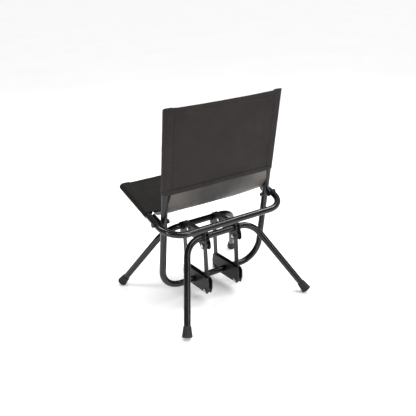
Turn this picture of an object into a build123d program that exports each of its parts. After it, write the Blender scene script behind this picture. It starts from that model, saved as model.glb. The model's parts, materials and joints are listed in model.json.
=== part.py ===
"""Folding sling chair for a hunting blind: a seat hoop and a back hoop that cross
at two side pivots, carried on two splayed leg hoops by a pair of link towers.

Frame: X is the sitter's right, Y is forward, Z is up, and the floor is z = 0.
All sizes are in millimetres."""
import os
from math import atan2, cos, degrees, hypot, radians, sin
from build123d import *

os.makedirs("parts", exist_ok=True)

# ---- tubes -------------------------------------------------------------------
tube_od = 22.2
tube_wall = 1.6
front_bar_od = 16.0
running = 0.06            # radial clearance of a turning fit
soft_gap = 0.4            # fabric solids stand this far off the metal

# ---- back hoop ---------------------------------------------------------------
back_half = 203.0         # half the spacing of the uprights, on centres
back_top_y, back_top_z = -128.0, 699.0
back_low_y, back_low_z = -3.0, 64.0
back_bend = 77.0

# ---- seat hoop ---------------------------------------------------------------
hoop_gap = 5.8            # clear space between a back upright and a seat side tube
seat_half = back_half + tube_od + hoop_gap
seat_rear_y, seat_rear_z = -135.0, 305.0
seat_front_y, seat_front_z = 168.0, 397.0
seat_bend = 71.0
front_bar_set_back = 12.0

# ---- leg hoops ---------------------------------------------------------------
hoop_bar_z = 244.0
rear_bar_y = -69.0
rear_foot_x, rear_foot_y = 246.0, -231.0
rear_corner_x = 131.0
front_bar_y = 63.0
front_foot_x, front_foot_y = 248.0, 231.0
front_corner_x = 139.0
leg_bend = 76.0

# ---- rubber feet -------------------------------------------------------------
foot_len = 35.5
foot_top_wall = 1.7
foot_low_wall = 5.9
foot_top_r = tube_od / 2 + foot_top_wall
foot_low_r = tube_od / 2 + foot_low_wall
foot_round = 3.0
foot_end_z = 8.5          # height of the foot's end on the leg's centre line
foot_sole = 6.5           # rubber under the tube's end

# ---- link towers -------------------------------------------------------------
link_x = 63.0             # centre of each tower
link_thick = 4.0
link_width = 20.0
link_top_z = 213.0
link_low_z = 43.0
plate_thick = 3.0
plate_gap = 12.0          # clear space between the two plates of a bracket
hub_wall = 4.0
bolt_r = 4.0
head_r = 7.0
head_high = 4.5
washer_r = 7.5
side_play = 0.35

# ---- side pivots -------------------------------------------------------------
pivot_bolt_r = 4.0
pivot_head_r = 8.0
pivot_head_high = 5.0
hinge_plate_thick = 3.0
hinge_plate_behind = 12.0   # how far the plate reaches behind the pivot
hinge_plate_ahead = 46.0
hinge_plate_high = 26.0
rivet_r = 2.4
rivet_head_r = 4.4
rivet_first = 18.0        # first rivet, ahead of the pivot
rivet_pitch = 19.0

# ---- sling -------------------------------------------------------------------
sling_thick = 3.0
sleeve_wall = 2.0
back_hem_along = 88.0     # distance of the lower hem from the side pivot
seat_sling_start = 52.0   # distance of the seat sleeves from the side pivot
seat_panel_start = 54.0
seat_sag = 26.0
seat_front_sag = 13.0     # the front bar holds the front edge up
back_sag = 14.0

tube_r = tube_od / 2
parts = {}


def keep(name, shape, tint):
    """Label one node, colour it and store it for export."""
    shape.label = name
    shape.color = Color(*tint)
    parts[name] = shape
    return shape


BLACK = (0.05, 0.05, 0.05)
GREY = (0.22, 0.22, 0.23)
STEEL = (0.62, 0.62, 0.60)
RUBBER = (0.09, 0.09, 0.09)
CLOTH = (0.20, 0.19, 0.18)


def bent_tube(points, radius, od=tube_od):
    """A hollow tube along a polyline with equal bends."""
    path = FilletPolyline(*points, radius=radius)
    ring = Circle(od / 2) - Circle(od / 2 - tube_wall)
    return sweep(Plane(origin=path @ 0, z_dir=path % 0) * ring, path=path)


def straight_tube(start, end, outer, inner):
    """A straight hollow tube between two points."""
    axis = Vector(*end) - Vector(*start)
    ring = Circle(outer) - Circle(inner)
    return extrude(Plane(origin=start, z_dir=axis) * ring, amount=axis.length)


def rod(y, z, x0, x1, radius):
    """A solid round bar along X."""
    low, high = min(x0, x1), max(x0, x1)
    plane = Plane(origin=(low, y, z), x_dir=(0, 1, 0), z_dir=(1, 0, 0))
    return extrude(plane * Circle(radius), amount=high - low)


def plate(outline, x0, x1):
    """A flat plate in the Y-Z plane between two X values."""
    low, high = min(x0, x1), max(x0, x1)
    face = make_face(Polyline(*outline, close=True))
    plane = Plane(origin=(low, 0, 0), x_dir=(0, 1, 0), z_dir=(1, 0, 0))
    return extrude(plane * face, amount=high - low)


def rounded_plate(outline, x0, x1, radius):
    """A flat plate with its corners rounded in the Y-Z plane."""
    slab = plate(outline, x0, x1)
    return fillet(slab.edges().filter_by(Axis.X), radius)


def hexagon(y, z, x0, x1, radius):
    """A hexagonal nut or head along X."""
    low, high = min(x0, x1), max(x0, x1)
    plane = Plane(origin=(low, y, z), x_dir=(0, 1, 0), z_dir=(1, 0, 0))
    return extrude(plane * RegularPolygon(radius, 6), amount=high - low)


# ---- derived places ----------------------------------------------------------
back_run = Vector(0, back_top_y - back_low_y, back_top_z - back_low_z).normalized()
seat_run = Vector(0, seat_front_y - seat_rear_y, seat_front_z - seat_rear_z).normalized()
cross = back_run.Y * seat_run.Z - back_run.Z * seat_run.Y
gap_y = seat_rear_y - back_low_y
gap_z = seat_rear_z - back_low_z
pivot_along = (gap_y * seat_run.Z - gap_z * seat_run.Y) / cross
pivot_y = back_low_y + pivot_along * back_run.Y
pivot_z = back_low_z + pivot_along * back_run.Z
seat_front_along = hypot(seat_front_y - pivot_y, seat_front_z - pivot_z)
back_top_along = hypot(back_top_y - pivot_y, back_top_z - pivot_z)
seat_tilt = degrees(atan2(seat_run.Z, seat_run.Y))
back_lean = degrees(atan2(-back_run.Y, back_run.Z))
bar_hole = tube_r + running
hub_r = tube_r + running + hub_wall

# ---- back hoop and its plugs -------------------------------------------------
back_points = [
    (-back_half, back_top_y, back_top_z),
    (-back_half, back_low_y, back_low_z),
    (back_half, back_low_y, back_low_z),
    (back_half, back_top_y, back_top_z),
]
back_hoop = bent_tube(back_points, back_bend)
for side in (-1, 1):
    low = side * (back_half - tube_r - 2)
    high = side * (back_half + tube_r + 2)
    back_hoop -= rod(pivot_y, pivot_z, low, high, pivot_bolt_r + running)
keep("back_hoop", back_hoop, BLACK)


def end_plug(place, run, od=tube_od):
    """A pushed-in plastic plug with a low domed cap."""
    base = Plane(origin=place, z_dir=run)
    stem = extrude(base * Circle(od / 2 - tube_wall - 0.1), amount=-14)
    cap = extrude(base * Circle(od / 2), amount=3.5)
    rim = cap.edges().sort_by(lambda e: (e.center() - Vector(*place)).dot(run))[-1]
    return stem + fillet(rim, 2.2)


for tag, side in (("l", -1), ("r", 1)):
    place = (side * back_half, back_top_y, back_top_z)
    keep("back_plug_" + tag, end_plug(place, back_run), RUBBER)

# ---- seat hoop, front bar and plugs ------------------------------------------
seat_points = [
    (-seat_half, seat_front_y, seat_front_z),
    (-seat_half, seat_rear_y, seat_rear_z),
    (seat_half, seat_rear_y, seat_rear_z),
    (seat_half, seat_front_y, seat_front_z),
]
seat_hoop = bent_tube(seat_points, seat_bend)
bar_y = seat_front_y - front_bar_set_back * seat_run.Y
bar_z = seat_front_z - front_bar_set_back * seat_run.Z
rivet_places = [rivet_first, rivet_first + rivet_pitch]
for side in (-1, 1):
    low = side * (seat_half - tube_r - 2)
    high = side * (seat_half + tube_r + 2)
    seat_hoop -= rod(pivot_y, pivot_z, low, high, pivot_bolt_r + running)
    for along in rivet_places:
        ry = pivot_y + along * seat_run.Y
        rz = pivot_z + along * seat_run.Z
        seat_hoop -= rod(ry, rz, low, side * seat_half, rivet_r)
keep("seat_hoop", seat_hoop, BLACK)

bar_end = seat_half - tube_r - 0.1
front_bar = straight_tube((-bar_end, bar_y, bar_z), (bar_end, bar_y, bar_z),
                          front_bar_od / 2, front_bar_od / 2 - tube_wall)
keep("seat_front_bar", front_bar, BLACK)
for tag, side in (("l", -1), ("r", 1)):
    place = (side * seat_half, seat_front_y, seat_front_z)
    keep("seat_plug_" + tag, end_plug(place, seat_run), RUBBER)

# ---- side pivots: hinge plates on the seat tubes, bolts through the uprights --
for tag, side in (("l", -1), ("r", 1)):
    inner = side * (back_half + tube_r)
    outer = side * (seat_half - tube_r)
    plate_in = outer - side * (hinge_plate_thick + 0.05)
    plate_out = outer - side * 0.05
    half_high = hinge_plate_high / 2
    corners = [(-hinge_plate_behind, -half_high), (hinge_plate_ahead, -half_high),
               (hinge_plate_ahead, half_high), (-hinge_plate_behind, half_high)]
    tilt = radians(seat_tilt)
    outline = [(pivot_y + a * cos(tilt) - b * sin(tilt),
                pivot_z + a * sin(tilt) + b * cos(tilt)) for a, b in corners]
    hinge = rounded_plate(outline, plate_in, plate_out, 11)
    cut_in, cut_out = plate_in - side * 2, plate_out + side * 2
    hinge -= rod(pivot_y, pivot_z, cut_in, cut_out, pivot_bolt_r + running)
    for along in rivet_places:
        ry = pivot_y + along * seat_run.Y
        rz = pivot_z + along * seat_run.Z
        hinge -= rod(ry, rz, cut_in, cut_out, rivet_r)
    keep("hinge_plate_" + tag, hinge, GREY)

    rivets = Part()
    for along in rivet_places:
        ry = pivot_y + along * seat_run.Y
        rz = pivot_z + along * seat_run.Z
        shank_end = outer + side * (tube_wall + 1.2)
        rivets += rod(ry, rz, plate_in, shank_end, rivet_r - 0.05)
        rivets += rod(ry, rz, plate_in - side * 1.2, plate_in - side * 0.02, rivet_head_r)
        rivets += rod(ry, rz, plate_in - side * 0.5, plate_in, rivet_r - 0.05)
    keep("hinge_rivets_" + tag, rivets, STEEL)

    spacer_in = inner + side * 0.05
    spacer_out = plate_in - side * side_play
    spacer = rod(pivot_y, pivot_z, spacer_in, spacer_out, 8.5)
    spacer -= rod(pivot_y, pivot_z, spacer_in - side, spacer_out + side, pivot_bolt_r + running)
    keep("pivot_spacer_" + tag, spacer, RUBBER)

    nut_face = side * (back_half - tube_r - 0.05)
    head_face = side * (seat_half + tube_r + side_play)
    bolt = rod(pivot_y, pivot_z, nut_face, head_face, pivot_bolt_r)
    head = rod(pivot_y, pivot_z, head_face, head_face + side * pivot_head_high, pivot_head_r)
    far_rim = head.edges().sort_by(Axis.X)[-1 if side > 0 else 0]
    bolt += fillet(far_rim, 2.5)
    nut_end = nut_face - side * 6.5
    bolt += hexagon(pivot_y, pivot_z, nut_face, nut_end, 7.5)
    keep("pivot_bolt_" + tag, bolt, STEEL)

# ---- leg hoops and feet ------------------------------------------------------
def leg_points(foot_x, foot_y, corner_x, bar_y_):
    """Polyline of one leg hoop, its lower ends standing on the soles of the feet."""
    low = Vector(foot_x, foot_y, foot_end_z)
    run = (Vector(corner_x, bar_y_, hoop_bar_z) - low).normalized()
    end = low + run * foot_sole
    return [(-end.X, end.Y, end.Z), (-corner_x, bar_y_, hoop_bar_z),
            (corner_x, bar_y_, hoop_bar_z), (end.X, end.Y, end.Z)]


def rubber_foot(foot_x, foot_y, corner_x, bar_y_, side):
    """A flared boot on the end of a leg, square to it, worn flat where it stands."""
    low = Vector(side * foot_x, foot_y, foot_end_z)
    top = Vector(side * corner_x, bar_y_, hoop_bar_z)
    run = (top - low).normalized()
    waist = low + run * (foot_len * 0.72)
    base = Plane(origin=tuple(low), z_dir=run)
    middle = Plane(origin=tuple(waist), z_dir=run)
    lip = Plane(origin=tuple(low + run * foot_len), z_dir=run)
    cone = loft([base * Circle(foot_low_r), middle * Circle(foot_top_r + 1.3)], ruled=True)
    cone += loft([middle * Circle(foot_top_r + 1.3), lip * Circle(foot_top_r)], ruled=True)
    rim = cone.edges().filter_by(GeomType.CIRCLE).sort_by(Axis.Z)[-1]
    cone = fillet(rim, 0.8)
    sole = cone.edges().filter_by(GeomType.CIRCLE).sort_by(Axis.Z)[0]
    cone = fillet(sole, foot_round)
    cone -= Pos(0, 0, -100) * Box(2000, 2000, 200)
    bore_base = Plane(origin=tuple(low + run * (foot_sole - 0.3)), z_dir=run)
    cone -= extrude(bore_base * Circle(tube_r + 0.05), amount=foot_len)
    return cone


hoops = (
    ("rear", rear_foot_x, rear_foot_y, rear_corner_x, rear_bar_y),
    ("front", front_foot_x, front_foot_y, front_corner_x, front_bar_y),
)
collar_in = link_x + plate_gap / 2 + plate_thick + side_play
collar_wide = 4.5
for tag, fx, fy, cx, by in hoops:
    keep(tag + "_leg_hoop", bent_tube(leg_points(fx, fy, cx, by), leg_bend), BLACK)
    collars = Part()
    for side in (-1, 1):
        side_tag = "l" if side < 0 else "r"
        keep(tag + "_foot_" + side_tag, rubber_foot(fx, fy, cx, by, side), RUBBER)
        ring = rod(by, hoop_bar_z, side * collar_in, side * (collar_in + collar_wide), tube_r + 3)
        ring -= rod(by, hoop_bar_z, side * (collar_in - 1), side * (collar_in + collar_wide + 1),
                    tube_r + 0.05)
        collars += ring
    keep(tag + "_collars", collars, GREY)

# ---- link towers -------------------------------------------------------------
mid_y = (rear_bar_y + front_bar_y) / 2
top_edge = hoop_bar_z + 18
lobe_low = link_top_z - 14
top_outline = [
    (rear_bar_y - 16, top_edge), (front_bar_y - 4, top_edge),
    (front_bar_y + 15, top_edge - 17), (front_bar_y + 15, lobe_low + 6),
    (front_bar_y + 9, lobe_low), (front_bar_y - 9, lobe_low),
    (front_bar_y - 24, lobe_low + 24), (rear_bar_y + 28, lobe_low + 24),
    (rear_bar_y + 13, lobe_low), (rear_bar_y - 14, lobe_low),
    (rear_bar_y - 23, lobe_low + 10), (rear_bar_y - 23, lobe_low + 28),
    (rear_bar_y - 17, lobe_low + 40),
]
low_edge = link_low_z - 9
low_top = back_low_z + 31
low_outline = [
    (front_bar_y + 6, low_top), (rear_bar_y - 14, low_top),
    (rear_bar_y - 22, low_top - 9), (rear_bar_y - 20, back_low_z - 6),
    (rear_bar_y - 11, low_edge), (front_bar_y - 2, low_edge),
    (front_bar_y + 11, low_edge + 10), (front_bar_y + 12, low_edge + 30),
]
tie_y, tie_z = mid_y + 22, hoop_bar_z + 2


def bracket_pair(outline, side):
    """Two parallel plates either side of a tower's centre."""
    centre = side * link_x
    near = centre - side * (plate_gap / 2)
    far = centre + side * (plate_gap / 2)
    first = rounded_plate(outline, near, near - side * plate_thick, 4)
    second = rounded_plate(outline, far, far + side * plate_thick, 4)
    return first + second


def bolt_through(y, z, side, play):
    """A bolt with a head, a nut and two washers that centre a link."""
    centre = side * link_x
    stack = plate_gap / 2 + plate_thick
    out_face = centre + side * (stack + 0.05)
    in_face = centre - side * (stack + 0.05)
    shape = rod(y, z, in_face, out_face, bolt_r - play)
    shape += hexagon(y, z, out_face, out_face + side * head_high, head_r)
    shape += hexagon(y, z, in_face, in_face - side * head_high, head_r)
    shape += rod(y, z, in_face - side * head_high, in_face - side * (head_high + 2.5), bolt_r - play)
    for way in (-1, 1):
        near = centre + way * (link_thick / 2 + side_play)
        far = centre + way * (plate_gap / 2 - 0.05)
        shape += rod(y, z, near, far, washer_r)
    return shape


for tag, side in (("l", -1), ("r", 1)):
    centre = side * link_x
    stack = plate_gap / 2 + plate_thick
    inner, outer = centre - side * stack, centre + side * stack
    wide_in, wide_out = inner - side * 2, outer + side * 2

    low = bracket_pair(low_outline, side)
    low += rod(back_low_y, back_low_z, inner, outer, hub_r)
    low -= rod(back_low_y, back_low_z, wide_in, wide_out, tube_r + 0.05)
    for y in (rear_bar_y, front_bar_y):
        low -= rod(y, link_low_z, wide_in, wide_out, bolt_r + 0.05)
    keep("lower_bracket_" + tag, low, GREY)

    top = bracket_pair(top_outline, side)
    web = [(rear_bar_y - 14, top_edge - plate_thick), (front_bar_y - 6, top_edge - plate_thick),
           (front_bar_y - 6, top_edge), (rear_bar_y - 14, top_edge)]
    top += plate(web, inner + side * 0.5, outer - side * 0.5)
    for y in (rear_bar_y, front_bar_y):
        top -= rod(y, hoop_bar_z, wide_in, wide_out, bar_hole)
        top -= rod(y, link_top_z, wide_in, wide_out, bolt_r + 0.05)
    top -= rod(tie_y, tie_z, wide_in, wide_out, 3.05)
    keep("top_bracket_" + tag, top, GREY)

    tie = rod(tie_y, tie_z, inner, outer, 3.0)
    tie += hexagon(tie_y, tie_z, outer + side * 0.05, outer + side * 4, 5.5)
    tie += hexagon(tie_y, tie_z, inner - side * 0.05, inner - side * 4, 5.5)
    tie += rod(tie_y, tie_z, inner - side * 0.05, outer + side * 0.05, 3.0)
    keep("bracket_tie_" + tag, tie, STEEL)

    for name, y in (("rear", rear_bar_y), ("front", front_bar_y)):
        half = link_thick / 2
        length = link_top_z - link_low_z
        plane = Plane(origin=(centre - half, y, (link_top_z + link_low_z) / 2),
                      x_dir=(0, 0, 1), z_dir=(1, 0, 0))
        link = extrude(plane * SlotCenterToCenter(length, link_width), amount=link_thick)
        low_x, high_x = centre - half - 1, centre + half + 1
        link -= rod(y, link_low_z, low_x, high_x, bolt_r + running)
        free = 0.3 if name == "front" else running
        link -= rod(y, link_top_z, low_x, high_x, bolt_r + free)
        keep(name + "_link_" + tag, link, GREY)
        keep(name + "_low_bolt_" + tag, bolt_through(y, link_low_z, side, 0), STEEL)
        keep(name + "_top_bolt_" + tag, bolt_through(y, link_top_z, side, 0), STEEL)

# ---- sling solids: panels with sleeves over the tubes -------------------------
sleeve_in = tube_r + soft_gap
sleeve_out = sleeve_in + sleeve_wall


def sagged_panel(half, sag, thick, steps=8):
    """Cross-section of a panel hanging between two sleeves, closed outline."""
    reach = half - sleeve_in - 0.6
    xs = [-reach + 2 * reach * i / steps for i in range(steps + 1)]
    top = [(x, -sag * (1 - (x / reach) ** 2)) for x in xs]
    low = [(x, z - thick) for x, z in reversed(top)]
    return top + low


def sling(origin_y, origin_z, run, half, start, end, panel_from, sag, end_sag):
    """A hanging panel and two sleeves, drawn along the tube direction."""
    sheet = Part()
    begin = Plane(origin=(0, origin_y + panel_from * run.Y, origin_z + panel_from * run.Z),
                  x_dir=(1, 0, 0), z_dir=run)
    finish = begin.offset(end - panel_from)
    near = make_face(Polyline(*sagged_panel(half, sag, sling_thick), close=True))
    far = make_face(Polyline(*sagged_panel(half, end_sag, sling_thick), close=True))
    sheet += loft([begin * near, finish * far], ruled=True)
    for side in (-1, 1):
        a = (side * half, origin_y + start * run.Y, origin_z + start * run.Z)
        b = (side * half, origin_y + end * run.Y, origin_z + end * run.Z)
        sheet += straight_tube(a, b, sleeve_out, sleeve_in)
    return sheet


back_top_end = back_top_along - 2
back_sling = sling(pivot_y, pivot_z, back_run, back_half, back_hem_along, back_top_end,
                   back_hem_along, back_sag, back_sag)
keep("back_sling", back_sling, CLOTH)

seat_end = seat_front_along - 2
seat_sling = sling(pivot_y, pivot_z, seat_run, seat_half, seat_sling_start, seat_end,
                   seat_panel_start, -seat_sag, -seat_front_sag)
seat_sling -= rod(bar_y, bar_z, -seat_half, seat_half, front_bar_od / 2 + soft_gap)
keep("seat_sling", seat_sling, CLOTH)

for name, shape in parts.items():
    export_step(shape, os.path.join("parts", name + ".step"))
print(len(parts), "parts, pivot at", round(pivot_y, 2), round(pivot_z, 2))
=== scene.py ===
import json
import math

import bmesh
import bpy
from mathutils import Matrix, Vector, noise


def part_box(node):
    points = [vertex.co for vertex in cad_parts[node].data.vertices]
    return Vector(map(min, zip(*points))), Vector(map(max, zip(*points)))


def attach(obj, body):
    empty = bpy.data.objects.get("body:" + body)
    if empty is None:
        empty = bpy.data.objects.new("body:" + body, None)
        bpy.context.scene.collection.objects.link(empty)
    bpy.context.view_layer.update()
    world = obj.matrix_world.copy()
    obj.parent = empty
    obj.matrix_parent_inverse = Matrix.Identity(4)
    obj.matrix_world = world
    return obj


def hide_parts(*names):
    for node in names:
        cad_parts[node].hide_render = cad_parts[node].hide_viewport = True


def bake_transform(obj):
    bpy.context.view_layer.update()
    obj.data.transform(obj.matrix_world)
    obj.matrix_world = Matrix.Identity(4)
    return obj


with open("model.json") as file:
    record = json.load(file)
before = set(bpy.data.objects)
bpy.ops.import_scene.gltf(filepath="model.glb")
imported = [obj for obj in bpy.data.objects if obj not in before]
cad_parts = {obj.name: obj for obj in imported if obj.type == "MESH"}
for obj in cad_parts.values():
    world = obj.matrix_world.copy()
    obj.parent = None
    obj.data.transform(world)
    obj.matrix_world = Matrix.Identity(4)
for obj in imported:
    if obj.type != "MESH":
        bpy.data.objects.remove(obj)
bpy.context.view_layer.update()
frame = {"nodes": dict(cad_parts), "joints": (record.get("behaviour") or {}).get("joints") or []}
nodes = frame["nodes"]
pivot = Vector([j for j in frame["joints"] if j["name"] == "seat_fold"][0]["pos_m"])

# ---- camera: behind and to the sitter's left ---------------------------------
azimuth, elevation, roll = math.radians(32.17), math.radians(21.46), math.radians(-2.93)
eye = Vector((-1.0270, pivot.y - 1.5769, pivot.z + 0.73857))
forward = Vector((
    math.sin(azimuth) * math.cos(elevation),
    math.cos(azimuth) * math.cos(elevation),
    -math.sin(elevation),
))
right = forward.cross(Vector((0, 0, 1))).normalized()
up = right.cross(forward)
cam_x = right * math.cos(roll) + up * math.sin(roll)
cam_y = up * math.cos(roll) - right * math.sin(roll)
cam_data = bpy.data.cameras.new("camera")
cam_data.lens = 52.27
cam_data.sensor_width = 36
cam = bpy.data.objects.new("camera", cam_data)
cam.matrix_world = Matrix((
    (cam_x.x, cam_y.x, -forward.x, eye.x),
    (cam_x.y, cam_y.y, -forward.y, eye.y),
    (cam_x.z, cam_y.z, -forward.z, eye.z),
    (0, 0, 0, 1),
))
bpy.context.scene.collection.objects.link(cam)
bpy.context.scene.camera = cam
bpy.context.scene.view_settings.view_transform = "Standard"


# ---- materials -----------------------------------------------------------------
class Shader:
    """A principled material with short calls for the nodes that feed it."""

    def __init__(self, name, **values):
        self.material = bpy.data.materials.new(name)
        self.material.use_nodes = True
        self.tree = self.material.node_tree
        self.out = self.tree.nodes["Principled BSDF"]
        for socket, value in values.items():
            self.out.inputs[socket.replace("_", " ")].default_value = value
        self.object = self.add("ShaderNodeTexCoord").outputs["Object"]

    def add(self, kind, **inputs):
        node = self.tree.nodes.new(kind)
        for key, value in inputs.items():
            self.put(node.inputs[key.replace("_", " ")], value)
        return node

    def put(self, socket, value):
        if isinstance(value, bpy.types.NodeSocket):
            self.tree.links.new(value, socket)
        else:
            socket.default_value = value

    def noise(self, scale, detail=4.0, rough=0.55, vector=None, distortion=0.0):
        node = self.add("ShaderNodeTexNoise", Scale=scale, Detail=detail, Roughness=rough,
                        Distortion=distortion, Vector=vector or self.object)
        return node.outputs["Fac"]

    def ramp(self, value, *stops):
        node = self.add("ShaderNodeValToRGB", Fac=value)
        ramp = node.color_ramp
        while len(ramp.elements) < len(stops):
            ramp.elements.new(0.5)
        for element, (position, colour) in zip(ramp.elements, stops):
            element.position = position
            element.color = (*colour, 1) if len(colour) == 3 else colour
        return node.outputs["Color"]

    def span(self, value, low, high, start=0.3, end=0.7):
        node = self.add("ShaderNodeMapRange")
        self.put(node.inputs["Value"], value)
        node.inputs["From Min"].default_value = start
        node.inputs["From Max"].default_value = end
        node.inputs["To Min"].default_value = low
        node.inputs["To Max"].default_value = high
        return node.outputs["Result"]

    def math(self, kind, a, b=0.0, c=0.0):
        node = self.add("ShaderNodeMath")
        node.operation = kind
        for socket, value in zip(node.inputs, (a, b, c)):
            self.put(socket, value)
        return node.outputs[0]

    def mix(self, factor, a, b):
        node = self.add("ShaderNodeMix")
        node.data_type = "RGBA"
        for key, value in (("Factor", factor), ("A", a), ("B", b)):
            socket = [s for s in node.inputs if s.name == key and s.enabled][0]
            self.put(socket, value)
        return [s for s in node.outputs if s.enabled][0]

    def bump(self, height, distance, strength=1.0, normal=None):
        node = self.add("ShaderNodeBump", Strength=strength, Distance=distance, Height=height)
        if normal is not None:
            self.put(node.inputs["Normal"], normal)
        return node.outputs["Normal"]

    def done(self, **links):
        for socket, value in links.items():
            self.put(self.out.inputs[socket.replace("_", " ")], value)
        return self.material


def painted(name, dark, light, low, high, coat):
    """Powder-coated steel: orange peel, faint dust and a slightly uneven gloss."""
    s = Shader(name, Coat_Weight=coat, Coat_Roughness=0.05, Coat_IOR=1.5, IOR=1.5,
               Specular_IOR_Level=0.34)
    cloud = s.noise(14, 5)
    fine = s.noise(420, 3)
    specks = s.ramp(s.noise(900, 2), (0.70, (0, 0, 0)), (0.78, (1, 1, 1)))
    colour = s.ramp(cloud, (0.3, dark), (0.75, light))
    dust = tuple(0.6 * c + 0.03 for c in light)
    colour = s.mix(s.math("MULTIPLY", specks, 0.15), colour, (*dust, 1))
    rough = s.math("ADD", s.span(cloud, low, high), s.span(fine, -0.02, 0.03))
    peel = s.bump(s.noise(650, 2, 0.4), 0.00012, 0.12)
    normal = s.bump(s.noise(45, 3), 0.0006, 0.06, peel)
    return s.done(Base_Color=colour, Roughness=rough, Normal=normal)


def plated():
    """Zinc-plated steel with a faint yellow passivation tint and fine turning marks."""
    s = Shader("zinc_plated", Metallic=1.0)
    cloud = s.noise(160, 4)
    colour = s.ramp(cloud, (0.25, (0.50, 0.49, 0.45)), (0.75, (0.78, 0.77, 0.74)))
    rough = s.span(s.noise(500, 3), 0.22, 0.42)
    normal = s.bump(s.noise(1400, 2), 0.0001, 0.3)
    return s.done(Base_Color=colour, Roughness=rough, Normal=normal)


def moulded(name, dark, light, rough, grain, depth):
    """Moulded rubber or plastic with a fine pebble and rubbed, dusty patches."""
    s = Shader(name, IOR=1.48, Specular_IOR_Level=0.25)
    cloud = s.noise(55, 5)
    voronoi = s.add("ShaderNodeTexVoronoi", Scale=grain, Vector=s.object)
    colour = s.ramp(cloud, (0.3, dark), (0.8, light))
    scuff = s.ramp(s.noise(240, 5, 0.65), (0.62, (0, 0, 0)), (0.74, (1, 1, 1)))
    lighter = tuple(1.7 * c + 0.01 for c in light)
    colour = s.mix(s.math("MULTIPLY", scuff, 0.4), colour, (*lighter, 1))
    roughness = s.span(s.noise(90, 4), rough - 0.08, rough + 0.08)
    normal = s.bump(voronoi.outputs["Distance"], depth, 0.5)
    return s.done(Base_Color=colour, Roughness=roughness, Normal=normal)


def woven(name, dark, light, tilt, thread=0.0009, rough=0.62, sheen=0.25, spec=0.5,
          ends=None):
    """Plain-weave polyester. The threads lie along X and along the panel's own slope."""
    s = Shader(name, Sheen_Weight=sheen, Sheen_Roughness=0.4, Specular_IOR_Level=spec)
    mapping = s.add("ShaderNodeMapping", Vector=s.object)
    mapping.inputs["Rotation"].default_value = (tilt, 0, 0)
    slope = mapping.outputs["Vector"]
    parts = s.add("ShaderNodeSeparateXYZ", Vector=slope)
    turn = math.pi / thread
    wobble = s.math("MULTIPLY", s.noise(70, 2), 0.0016)
    across = s.math("ADD", parts.outputs["X"], wobble)
    along = s.math("ADD", parts.outputs["Y"], wobble)
    warp = s.math("ABSOLUTE", s.math("SINE", s.math("MULTIPLY", across, turn)))
    weft = s.math("ABSOLUTE", s.math("SINE", s.math("MULTIPLY", along, turn)))
    over = s.math("SINE", s.math("MULTIPLY", across, turn))
    under = s.math("SINE", s.math("MULTIPLY", along, turn))
    swap = s.math("GREATER_THAN", s.math("MULTIPLY", over, under), 0.0)
    height = s.math("ADD", s.math("MULTIPLY", warp, swap),
                    s.math("MULTIPLY", weft, s.math("SUBTRACT", 1.0, swap)))
    cloud = s.noise(7, 5)
    slub = s.noise(380, 3, 0.6)
    colour = s.ramp(cloud, (0.3, dark), (0.72, light))
    # Painted sheen: when ends is given, the colour lightens toward both ends in X and blends into
    # the ends colour, standing in for floor light reflected off the satin underside.
    if ends:
        spot = s.add("ShaderNodeSeparateXYZ", Vector=s.object).outputs["X"]
        reach = s.math("ADD", s.math("ABSOLUTE", spot), s.math("MULTIPLY", s.noise(11, 2), 0.10))
        colour = s.mix(s.span(reach, 0.0, 1.0, 0.115, 0.205), colour, (*ends, 1))
    # Painted shade: the colour darkens to 0.72 of itself in the low parts of the weave, between
    # threads; the slub factor on the next line is the yarn's own uneven tone.
    shade = s.span(height, 0.72, 1.0, 0.0, 1.0)
    shade = s.math("MULTIPLY", shade, s.span(slub, 0.86, 1.12))
    shade_and_slub_rgb = s.add("ShaderNodeCombineXYZ", X=shade, Y=shade, Z=shade)
    mult = s.add("ShaderNodeMix")
    mult.data_type = "RGBA"
    mult.blend_type = "MULTIPLY"
    sockets = [x for x in mult.inputs if x.enabled]
    sockets[0].default_value = 1.0
    s.put(sockets[1], colour)
    s.put(sockets[2], shade_and_slub_rgb.outputs["Vector"])
    colour = [x for x in mult.outputs if x.enabled][0]
    roughness = s.math("ADD", s.span(s.noise(25, 4), rough - 0.05, rough + 0.05),
                       s.span(slub, -0.03, 0.03))
    normal = s.bump(height, 0.00022, 0.55)
    normal = s.bump(s.noise(48, 4), 0.0016, 0.25, normal)
    return s.done(Base_Color=colour, Roughness=roughness, Normal=normal)


def thread_material():
    s = Shader("sewing_thread", Sheen_Weight=0.05, Specular_IOR_Level=0.25)
    twist = s.add("ShaderNodeTexWave", Scale=900, Distortion=1.0, Vector=s.object)
    colour = s.ramp(twist.outputs["Fac"], (0.2, (0.008, 0.0075, 0.007)),
                    (0.9, (0.024, 0.022, 0.020)))
    normal = s.bump(twist.outputs["Fac"], 0.0001, 0.5)
    rough = s.span(s.noise(200), 0.45, 0.65)
    return s.done(Base_Color=colour, Roughness=rough, Normal=normal)


gloss_black = painted("gloss_black", (0.0035, 0.0035, 0.0038), (0.008, 0.008, 0.0085),
                      0.16, 0.24, 0.12)
satin_black = painted("satin_black", (0.0055, 0.0055, 0.0055), (0.0105, 0.0105, 0.0105),
                      0.34, 0.48, 0.03)
zinc = plated()
rubber = moulded("foot_rubber", (0.012, 0.012, 0.012), (0.020, 0.020, 0.020), 0.62, 2400, 0.00012)
plastic = moulded("plug_plastic", (0.010, 0.010, 0.010), (0.018, 0.018, 0.018), 0.5, 3000, 0.00006)

LOOKS = (
    (("hoop", "front_bar"), gloss_black),
    (("pivot_bolt", "rivets"), satin_black),
    (("bracket_l", "bracket_r", "link", "plate", "collars"), satin_black),
    (("bolt", "tie"), zinc),
    (("foot",), rubber),
    (("plug", "spacer"), plastic),
)
for name, obj in nodes.items():
    for words, material in LOOKS:
        if any(w in name for w in words):
            obj.data.materials.clear()
            obj.data.materials.append(material)
            break


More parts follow.
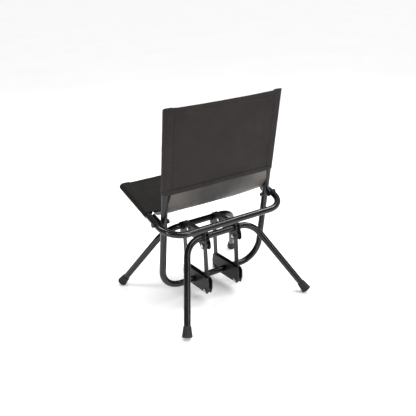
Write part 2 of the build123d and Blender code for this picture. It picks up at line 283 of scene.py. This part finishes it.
# ---- where the sling hangs -------------------------------------------------------
tube_r = 0.0111
cloth = 0.0010
under_layer = 0.0011         # from the panel's middle down to the turned-under layer
stitch_pitch = 0.0042
stitch_share = 0.72          # part of the pitch that one stitch takes


def hoop(name, top_is_up):
    """Tube line of a hoop: half width, unit run from the pivot to the open ends, length."""
    low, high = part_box(name)
    corner = Vector((0, high.y - tube_r if top_is_up else low.y + tube_r, low.z + tube_r))
    run = (pivot - corner).normalized()
    length = (high.z - tube_r * abs(run.y) - pivot.z) / run.z
    return high.x - tube_r, run, length


back_half, back_run, back_end = hoop("back_hoop", True)
seat_half, seat_run, seat_end = hoop("seat_hoop", False)
back_out = Vector((0, -back_run.z, back_run.y))      # to the rear, off the back panel
seat_out = Vector((0, -seat_run.z, seat_run.y))      # upward, off the seat panel
back_hem = 0.103
seat_start = 0.054
seam_in = 0.0160             # from the tube's centre inward to the sleeve seam
wrap_r = tube_r + 0.0012
bar_centre = seat_end - 0.012
bar_r = 0.008
hem_r = bar_r + 0.0030         # slack cloth, a little off the bar
back_bulge = 0.0025
seat_dip = 0.0135
back_lean = 0.0
seat_lean = math.radians(7)


def smooth(a, b, x):
    t = min(max((x - a) / (b - a), 0.0), 1.0)
    return t * t * (3 - 2 * t)


def back_at(x, s, n):
    return Vector((x, 0, 0)) + pivot + back_run * s + back_out * n


def seat_at(x, s, n):
    return Vector((x, 0, 0)) + pivot + seat_run * s + seat_out * n


def ripple(x, s, reach, seed, seams=0.0004):
    """Slack in the cloth: broad swells, fine creases and puckers along the seams."""
    inner = reach - seam_in
    edge = smooth(0, 0.05, reach - abs(x))
    swell = noise.noise(Vector((x * 9, s * 8, seed))) * 0.0022
    crease = noise.noise(Vector((x * 30 + s * 14, s * 24, seed + 7))) * 0.0007
    near = math.exp(-abs(inner - abs(x)) / 0.012)
    phase = 2 * math.pi * s / 0.017 + 3 * noise.noise(Vector((s * 40, seed, 3.3)))
    return (swell + crease) * edge + seams * near * edge * (math.sin(phase) - 1.2)


def back_panel_n(x, s):
    reach = back_half - wrap_r * math.sin(back_lean)
    bulge = back_bulge * (1 - (x / reach) ** 2)
    step = 0.0007 * smooth(back_end - 0.0120, back_end - 0.0105, s)
    step += 0.0007 * smooth(back_hem + 0.0165, back_hem + 0.0150, s)
    return wrap_r * math.cos(back_lean) + bulge + step + ripple(x, s, reach, 1.7)


def seat_panel_n(x, s):
    reach = seat_half - wrap_r * math.sin(seat_lean)
    side = wrap_r * math.cos(seat_lean)
    far = smooth(bar_centre - 0.002, bar_centre - 0.10, s)
    front = side - hem_r
    across = 1 - (x / reach) ** 4 * 0.35 - (x / reach) ** 2 * 0.65
    dip = (front + (seat_dip - front) * far) * across
    return side - dip + ripple(x, s, reach, 5.1)


class Cloth:
    """Collects grids of points into one mesh."""

    def __init__(self):
        self.points, self.faces = [], []

    def grid(self, rows, flip=False):
        first, wide = len(self.points), len(rows[0])
        for row in rows:
            self.points += [tuple(p) for p in row]
        for i in range(len(rows) - 1):
            for j in range(wide - 1):
                a = first + i * wide + j
                quad = (a, a + 1, a + wide + 1, a + wide)
                self.faces.append(quad[::-1] if flip else quad)

    def build(self, name, material, thick=cloth):
        mesh = bpy.data.meshes.new(name)
        mesh.from_pydata(self.points, [], self.faces)
        mesh.materials.append(material)
        obj = bpy.data.objects.new(name, mesh)
        bpy.context.scene.collection.objects.link(obj)
        solid = obj.modifiers.new("thickness", "SOLIDIFY")
        solid.thickness = thick
        solid.offset = 0
        graph = bpy.context.evaluated_depsgraph_get()
        made = bpy.data.meshes.new_from_object(obj.evaluated_get(graph))
        obj.modifiers.clear()
        obj.data = made
        made.name = name
        bm = bmesh.new()
        bm.from_mesh(made)
        bmesh.ops.recalc_face_normals(bm, faces=bm.faces)
        bm.to_mesh(made)
        bm.free()
        made.polygons.foreach_set("use_smooth", [True] * len(made.polygons))
        return obj


def spread(a, b, count):
    return [a + (b - a) * i / (count - 1) for i in range(count)]


def wrap(half, lean, panel, s, side, seed, shut=0.0, closed=False):
    """Half a cross-section: round the tube from its outer tangent to the seam underneath.

    shut runs from 0 to 1 as the sleeve's mouth closes: flat against the panel, or, where
    the section is closed, to a round nose in front of the tube."""
    top = math.pi / 2 + lean
    under = panel(half - seam_in, s) - under_layer
    reach = math.hypot(seam_in, under)
    aim = math.atan2(under, -seam_in)
    last = aim + math.acos(min(wrap_r / reach, 1.0)) - 2 * math.pi
    flat = wrap_r * math.cos(lean)
    points = []
    if closed:
        for d in spread(seam_in + 0.002, wrap_r * math.sin(lean) + 0.002, 4):
            points.append((half - d, panel(half - d, s)))
    for a in spread(top, last, 30):
        slack = abs(noise.noise(Vector((s * 38, a * 1.1, seed + side)))) * 0.0007
        away = max(0.0, math.cos(a - (top + last) / 2))
        r = wrap_r + slack * away
        points.append((half + r * math.cos(a), r * math.sin(a)))
    end = points[-1]
    for t in (0.3, 0.65, 1.0):
        points.append((end[0] + (half - seam_in - end[0]) * t, end[1] + (under - end[1]) * t))
    for d in (0.003, 0.006, 0.009):
        x = half - seam_in - d
        points.append((x, panel(x, s) - under_layer))
    keep = math.sqrt(max(1 - shut ** 4, 0.0))
    made = []
    for x, n in points:
        if closed:
            made.append((side * (x + (half - x) * 0.5 * (1 - keep)), n * keep))
            continue
        drop = flat - n
        n = flat - 0.0012 * (1 - keep) - drop * keep if drop > 0 else n
        x -= 0.004 * (1 - keep) * smooth(half, half + wrap_r, x)
        made.append((side * x, n))
    return made


def full_row(place, half, lean, panel, s, xs, seed, shut=0.0, shift=None, rise=0.0):
    """One row of cloth. Its outer layer stands higher than its inner one by rise."""
    left = wrap(half, lean, panel, s, -1, seed, shut)[::-1]
    right = wrap(half, lean, panel, s, 1, seed, shut)
    middle = [(x, panel(x, s)) for x in xs]
    row = []
    for x, n in left + middle + right:
        up_by = rise * smooth(-wrap_r, wrap_r, n) + (shift(x) if shift else 0)
        row.append(place(x, s + up_by, n))
    return row


def stations_with(a, b, step, extra):
    found = spread(a, b, max(3, int(round((b - a) / step)) + 1))
    return sorted(set(round(v, 6) for v in found + list(extra)))


# ---- back cover ------------------------------------------------------------------
back_plug_end = (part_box("back_plug_l")[1].z - tube_r * abs(back_run.y) - pivot.z) / back_run.z
seat_plug_end = (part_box("seat_plug_l")[1].z - tube_r * seat_run.y - pivot.z) / seat_run.z
back_reach = back_half - seam_in
seat_reach = seat_half - seam_in
close = back_plug_end + 0.0028
edge_rise = 0.0055


def back_shift(x, s):
    """The hems aren't ruled lines: the top edge dips and the lower one waves a little."""
    t = (s - back_hem) / (close - back_hem)
    u = min(abs(x) / back_half, 1.0)
    corner = 0.0008 * smooth(back_half - 0.006, back_half + wrap_r, abs(x)) * max(t, 0) ** 30
    wave = 0.0008 * math.sin(x * 17 + 0.6) * (1 - t) * (1 - u ** 6)
    return -corner - 0.0020 * (1 - u * u) * t + wave


sheet = Cloth()
rows = []
steps = stations_with(back_hem, close, 0.0055, (
    back_hem + 0.0150, back_hem + 0.0165, back_end - 0.0120, back_end - 0.0105,
    close - 0.0004, close - 0.0012, close - 0.0024))
xs = spread(-back_half + 0.003, back_half - 0.003, 84)
for s in steps:
    shut = min(max((s - back_end + 0.001) / (close - back_end + 0.001), 0), 1)
    rise = edge_rise * smooth(back_end - 0.05, close, s)
    rows.append(full_row(back_at, back_half, back_lean, back_panel_n, s, xs, 11.0, shut,
                         lambda x, s=s: back_shift(x, s), rise))
sheet.grid(rows)
back_angle = math.atan2(back_run.z, back_run.y)
seat_angle = math.atan2(seat_run.z, seat_run.y)
back_cloth = woven("back_polyester", (0.0200, 0.0165, 0.0152), (0.0290, 0.0242, 0.0224),
                   -back_angle, sheen=0.02, spec=0.16)
seat_cloth = woven("seat_polyester", (0.0062, 0.0058, 0.0050), (0.0100, 0.0093, 0.0080),
                   -seat_angle, sheen=0.01, spec=0.12)
# Painted sheen: the ends colour makes this cloth lighter toward its two ends in X, standing in for
# light reflected off its satin underside.
under_cloth = woven("underside_polyester", (0.018, 0.0155, 0.0142), (0.038, 0.0330, 0.0305), -0.6,
                    rough=0.40, sheen=0.05, spec=0.4, ends=(0.105, 0.095, 0.088))
back_cover = sheet.build("back_cover", back_cloth)
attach(back_cover, "back_frame")
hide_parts("back_sling")

# ---- seat cover ------------------------------------------------------------------
sheet = Cloth()
rows = []
side_x = seat_half - wrap_r * math.sin(seat_lean) - 0.003
xs = spread(-side_x, side_x, 90)
for s in spread(seat_start, bar_centre, 36):
    rows.append(full_row(seat_at, seat_half, seat_lean, seat_panel_n, s, xs, 23.0))
sheet.grid(rows)
mouth = seat_plug_end + 0.0035
fold = mouth - hem_r
rows = [[seat_at(x, s, seat_panel_n(x, bar_centre)) for x in xs]
        for s in spread(bar_centre, fold, 4)]
for a in spread(math.pi / 2, -math.pi / 2, 15)[1:]:
    row = []
    for x in xs:
        lift = (seat_panel_n(x, bar_centre) - hem_r) * max(0.0, math.sin(a))
        dent = 0.0016 * (1 - (x / side_x) ** 2) * math.cos(a)
        row.append(seat_at(x, fold + hem_r * math.cos(a) - dent, hem_r * math.sin(a) + lift))
    rows.append(row)
rows.append([seat_at(x, bar_centre, -hem_r) for x in xs])
for t in (0.2, 0.45, 0.7, 0.9, 1.0, 1.25):
    s = bar_centre - 0.030 * t
    row = []
    for x in xs:
        meet = seat_panel_n(x, s) - 0.0013
        row.append(seat_at(x, s, meet if t >= 1 else meet + (-hem_r - meet) * (1 - t) ** 1.5))
    rows.append(row)
sheet.grid(rows)
for side in (-1, 1):
    rows = []
    for s in spread(bar_centre, mouth, 14):
        shut = min(max((s - seat_end) / (mouth - seat_end), 0), 1)
        loop = wrap(seat_half, seat_lean, lambda x, q: seat_panel_n(x, min(q, bar_centre)), s,
                    side, 23.0, shut, True)
        rows.append([seat_at(x, s, n) for x, n in loop])
    sheet.grid(rows, flip=side < 0)
seat_cover = sheet.build("seat_cover", seat_cloth)
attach(seat_cover, "seat_frame")
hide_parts("seat_sling")

# ---- the cloth that turns from back to seat ----------------------------------------
sheet = Cloth()
half_wide = back_reach + 0.001
under_back = 0.0022          # the strip is sewn under the back panel
under_seat = 0.0014          # and under the seat panel
seat_widen = 1.12            # it widens toward the seat
rows = []
columns = []
for x in spread(-half_wide, half_wide, 72):
    a = back_at(x, back_hem - 0.004, back_panel_n(x, back_hem + 0.004) - under_back)
    d = seat_at(x, seat_start - 0.004, seat_panel_n(x, seat_start) - under_seat)
    b = a - back_run * 0.042
    c = d - seat_run * 0.036
    b.x *= 1.03
    c.x *= seat_widen
    d.x *= seat_widen
    line = [back_at(x, back_hem + e, back_panel_n(x, back_hem + e) - under_back)
            for e in (0.014, 0.007, 0.001)]
    for t in spread(0, 1, 30):
        p = a * (1 - t) ** 3 + b * 3 * t * (1 - t) ** 2 + c * 3 * t * t * (1 - t) + d * t ** 3
        slack = noise.noise(Vector((x * 14, t * 2.2, 9.1))) * 0.0022
        slack += noise.noise(Vector((x * 45, t * 5, 4.4))) * 0.0007
        across = Vector((0, -(c - b).z, (c - b).y)).normalized()
        line.append(p + across * slack * math.sin(math.pi * t))
    line += [seat_at(x * seat_widen, seat_start + e, seat_panel_n(x, seat_start + e) - under_seat)
             for e in (0.003, 0.008, 0.014)]
    columns.append(line)
for i in range(len(columns[0])):
    rows.append([column[i] for column in columns])
sheet.grid(rows, flip=True)
turn_cloth = sheet.build("turn_cloth", under_cloth)
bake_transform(turn_cloth)


# ---- stitching --------------------------------------------------------------------
def stitches(name, body, lines, long=0.0030, thick=0.00038):
    """Rows of sewn stitches: each one a short thread that dives at both ends."""
    points, faces = [], []
    for start, end, out in lines:
        along = (end - start).normalized()
        side = along.cross(out).normalized()
        middle = (start + end) / 2
        stations = ((-0.5, 0.15, -0.6), (-0.34, 0.8, 0.0), (0.0, 1.0, 0.35), (0.34, 0.8, 0.0),
                    (0.5, 0.15, -0.6))
        first = len(points)
        for where, fat, rise in stations:
            c = middle + along * long * where + out * thick * rise
            for k in range(6):
                a = math.pi * k / 3
                points.append(tuple(c + (side * math.cos(a) + out * math.sin(a)) * thick * fat))
        for i in range(4):
            for k in range(6):
                a = first + i * 6 + k
                b = first + i * 6 + (k + 1) % 6
                faces.append((a, b, b + 6, a + 6))
        faces.append(tuple(first + k for k in range(6))[::-1])
        faces.append(tuple(first + 24 + k for k in range(6)))
    mesh = bpy.data.meshes.new(name)
    mesh.from_pydata(points, [], faces)
    mesh.materials.append(thread)
    bm = bmesh.new()
    bm.from_mesh(mesh)
    bmesh.ops.recalc_face_normals(bm, faces=bm.faces)
    bm.to_mesh(mesh)
    bm.free()
    mesh.polygons.foreach_set("use_smooth", [True] * len(mesh.polygons))
    obj = bpy.data.objects.new(name, mesh)
    bpy.context.scene.collection.objects.link(obj)
    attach(obj, body)
    return obj


def along_seam(place, out, surface, x, a, b, lift, pitch=stitch_pitch):
    lines = []
    count = int((b - a) / pitch)
    for i in range(count):
        s = a + pitch * i
        p = place(x, s, surface(x, s) + lift)
        q = place(x, s + pitch * stitch_share, surface(x, s + pitch * stitch_share) + lift)
        lines.append((p, q, out if lift > 0 else -out))
    return lines


def along_hem(place, out, surface, s, reach, lift, shift=None, pitch=stitch_pitch):
    lines = []
    count = int(2 * reach / pitch)
    for i in range(count):
        x = -reach + pitch * (i + 0.15)
        e = x + pitch * stitch_share
        sx = s + (shift(x) if shift else 0)
        se = s + (shift(e) if shift else 0)
        lines.append((place(x, sx, surface(x, s) + lift), place(e, se, surface(e, s) + lift),
                      out if lift > 0 else -out))
    return lines


thread = thread_material()
lines = []
for side in (-1, 1):
    for inset, lift in ((0.0012, 0.0007), (0.0044, 0.0007), (0.0044, -0.0018)):
        x = side * (back_reach - inset)
        lines += along_seam(back_at, back_out, back_panel_n, x, back_hem + 0.004,
                            back_end - 0.002, lift)
low_row, top_row = back_hem + 0.0135, back_end - 0.0090
for s, raised in ((low_row, 0.0), (top_row, edge_rise * smooth(back_end - 0.05, close, top_row))):
    for lift in (0.0007, -0.0007):
        lines += along_hem(back_at, back_out, back_panel_n, s, back_reach - 0.004, lift,
                           lambda x, s=s, raised=raised: back_shift(x, s) + raised)
back_stitching = stitches("back_stitching", "back_frame", lines)
lines = []
for side in (-1, 1):
    for inset, lift in ((0.0012, 0.0007), (0.0044, 0.0007), (0.0044, -0.0018)):
        x = side * (seat_reach - inset)
        lines += along_seam(seat_at, seat_out, seat_panel_n, x, seat_start + 0.002,
                            bar_centre - 0.006, lift)
for lift in (0.0007, -0.0020):
    for s in (bar_centre - 0.033, seat_start + 0.010):
        lines += along_hem(seat_at, seat_out, seat_panel_n, s, seat_reach - 0.008, lift)
seat_stitching = stitches("seat_stitching", "seat_frame", lines)

# ---- floor and light -----------------------------------------------------------------
floor_shader = Shader("pale_floor", Specular_IOR_Level=0.2)
tone = floor_shader.ramp(floor_shader.noise(1.3, 3), (0.3, (0.86, 0.86, 0.86)),
                         (0.7, (0.90, 0.90, 0.90)))
floor_shader.out.inputs["Emission Color"].default_value = (1, 1, 1, 1)
floor_shader.out.inputs["Emission Strength"].default_value = 0.28
floor_shader.done(Base_Color=tone, Roughness=floor_shader.span(floor_shader.noise(5), 0.7, 0.8))
floor_half = 60.0
floor_drop = 0.0005          # keeps the floor just clear of the soles
bm = bmesh.new()
bmesh.ops.create_grid(bm, x_segments=1, y_segments=1, size=floor_half,
                      matrix=Matrix.Translation((0, 0, -floor_drop)))
mesh = bpy.data.meshes.new("studio_floor")
bm.to_mesh(mesh)
bm.free()
mesh.materials.append(floor_shader.material)
floor = bpy.data.objects.new("studio_floor", mesh)
bpy.context.scene.collection.objects.link(floor)


def softbox(name, place, aim, wide, high, power):
    data = bpy.data.lights.new(name, "AREA")
    data.shape = "RECTANGLE"
    data.size, data.size_y = wide, high
    data.energy = power
    obj = bpy.data.objects.new(name, data)
    obj.location = place
    obj.rotation_euler = (Vector(aim) - Vector(place)).to_track_quat("-Z", "Y").to_euler()
    bpy.context.scene.collection.objects.link(obj)


def sun(name, source, strength, spread_deg):
    data = bpy.data.lights.new(name, "SUN")
    data.energy = strength
    data.angle = math.radians(spread_deg)
    obj = bpy.data.objects.new(name, data)
    obj.rotation_euler = (-Vector(source)).to_track_quat("-Z", "Y").to_euler()
    bpy.context.scene.collection.objects.link(obj)


sun("studio_right", (0.30, -0.45, 0.85), 1.15, 30)
sun("studio_back", (0.52, 0.12, 0.85), 0.95, 26)
softbox("overhead", (-0.5, 0.2, 2.3), (0, 0, 0.3), 0.30, 1.9, 30)
softbox("overhead_right", (1.0, -0.3, 2.0), (0, 0, 0.3), 0.22, 1.5, 22)
softbox("camera_left", (-2.6, -1.2, 1.2), (0, 0, 0.35), 0.30, 1.6, 22)
softbox("camera_right", (0.9, -2.6, 1.7), (0, 0, 0.35), 0.25, 1.5, 16)
world = bpy.data.worlds.new("studio")
world.use_nodes = True
backdrop = world.node_tree.nodes["Background"]
backdrop.inputs["Color"].default_value = (1, 1, 1, 1)
seen = world.node_tree.nodes.new("ShaderNodeLightPath").outputs["Is Camera Ray"]
glow = world.node_tree.nodes.new("ShaderNodeMapRange")
glow.inputs["To Min"].default_value = 0.22
glow.inputs["To Max"].default_value = 0.95
world.node_tree.links.new(seen, glow.inputs["Value"])
world.node_tree.links.new(glow.outputs["Result"], backdrop.inputs["Strength"])
bpy.context.scene.world = world
